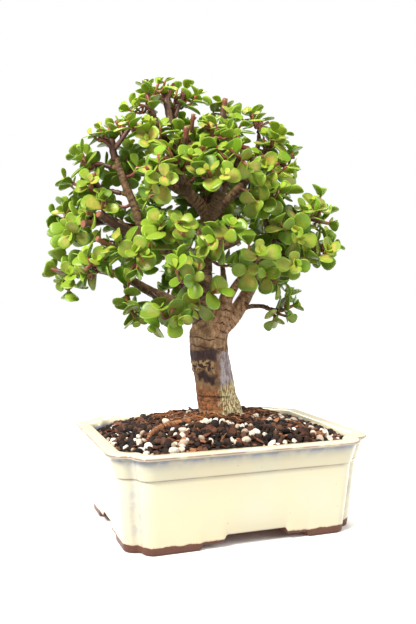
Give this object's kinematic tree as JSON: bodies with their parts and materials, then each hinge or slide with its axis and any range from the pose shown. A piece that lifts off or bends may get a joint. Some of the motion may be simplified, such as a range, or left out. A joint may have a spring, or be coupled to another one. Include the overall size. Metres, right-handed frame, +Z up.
{
  "type": "dwarf jade bonsai",
  "caption": "Dwarf jade bonsai: a stout forked trunk with a domed crown of leafy shoots, rooted in gritty soil in a cream glazed rectangular pot with lobed corners and cut-out feet.",
  "frame": {"origin": "middle of the whole object's bounding box, at its base, on the surface that the pot stands on", "axes": "+X along the pot's long side, to the right seen from its front; +Y away from the front; +Z up"},
  "size_m": [0.2916, 0.226, 0.4352],
  "materials": {
    "glazed_pot": "glossy cream glaze over brown stoneware",
    "soil": "dark bark and lava grit with white pumice",
    "drain_screen": "black moulded mesh",
    "bark": "brown to grey bark with ring creases",
    "leaf": "waxy yellow-green leaves on red-brown young stems"
  },
  "bodies": {
    "root": {"pot": "glazed_pot", "soil": "soil", "drain_screen_left": "drain_screen", "drain_screen_right": "drain_screen", "trunk_and_branches": "bark", "crown_left_tip": "leaf", "crown_top_tip": "leaf", "crown_top_side": "leaf", "crown_front": "leaf", "centre_top_tip": "leaf", "centre_top_side": "leaf", "crown_right_tip": "leaf", "crown_right_side": "leaf", "right_shoulder_tip": "leaf", "right_shoulder": "leaf", "left_spire_tip": "leaf", "left_spire_upper": "leaf", "left_spire_lower": "leaf", "left_main_tip": "leaf", "left_main_front": "leaf", "left_low_tip": "leaf", "left_low_front": "leaf", "left_cluster": "leaf", "left_hanging": "leaf", "left_hanging_inner": "leaf", "front_rosette": "leaf", "front_rosette_low": "leaf", "front_middle": "leaf", "front_right": "leaf", "front_left_upper": "leaf", "front_high": "leaf", "front_crown": "leaf", "centre_rosette": "leaf", "stub_rosette": "leaf", "stub_crown": "leaf", "right_spire_tip": "leaf", "right_outer_tip": "leaf", "right_outer_front": "leaf", "right_inner_tip": "leaf", "right_inner_front": "leaf", "right_inner_low": "leaf", "low_twig_tip": "leaf", "back_left_tip": "leaf", "back_left_side": "leaf", "back_low_tip": "leaf", "back_right_tip": "leaf", "back_middle_tip": "leaf", "back_top_tip": "leaf", "back_top_crown": "leaf", "back_right_crown": "leaf", "back_left_crown": "leaf"}
  },
  "joints": []
}
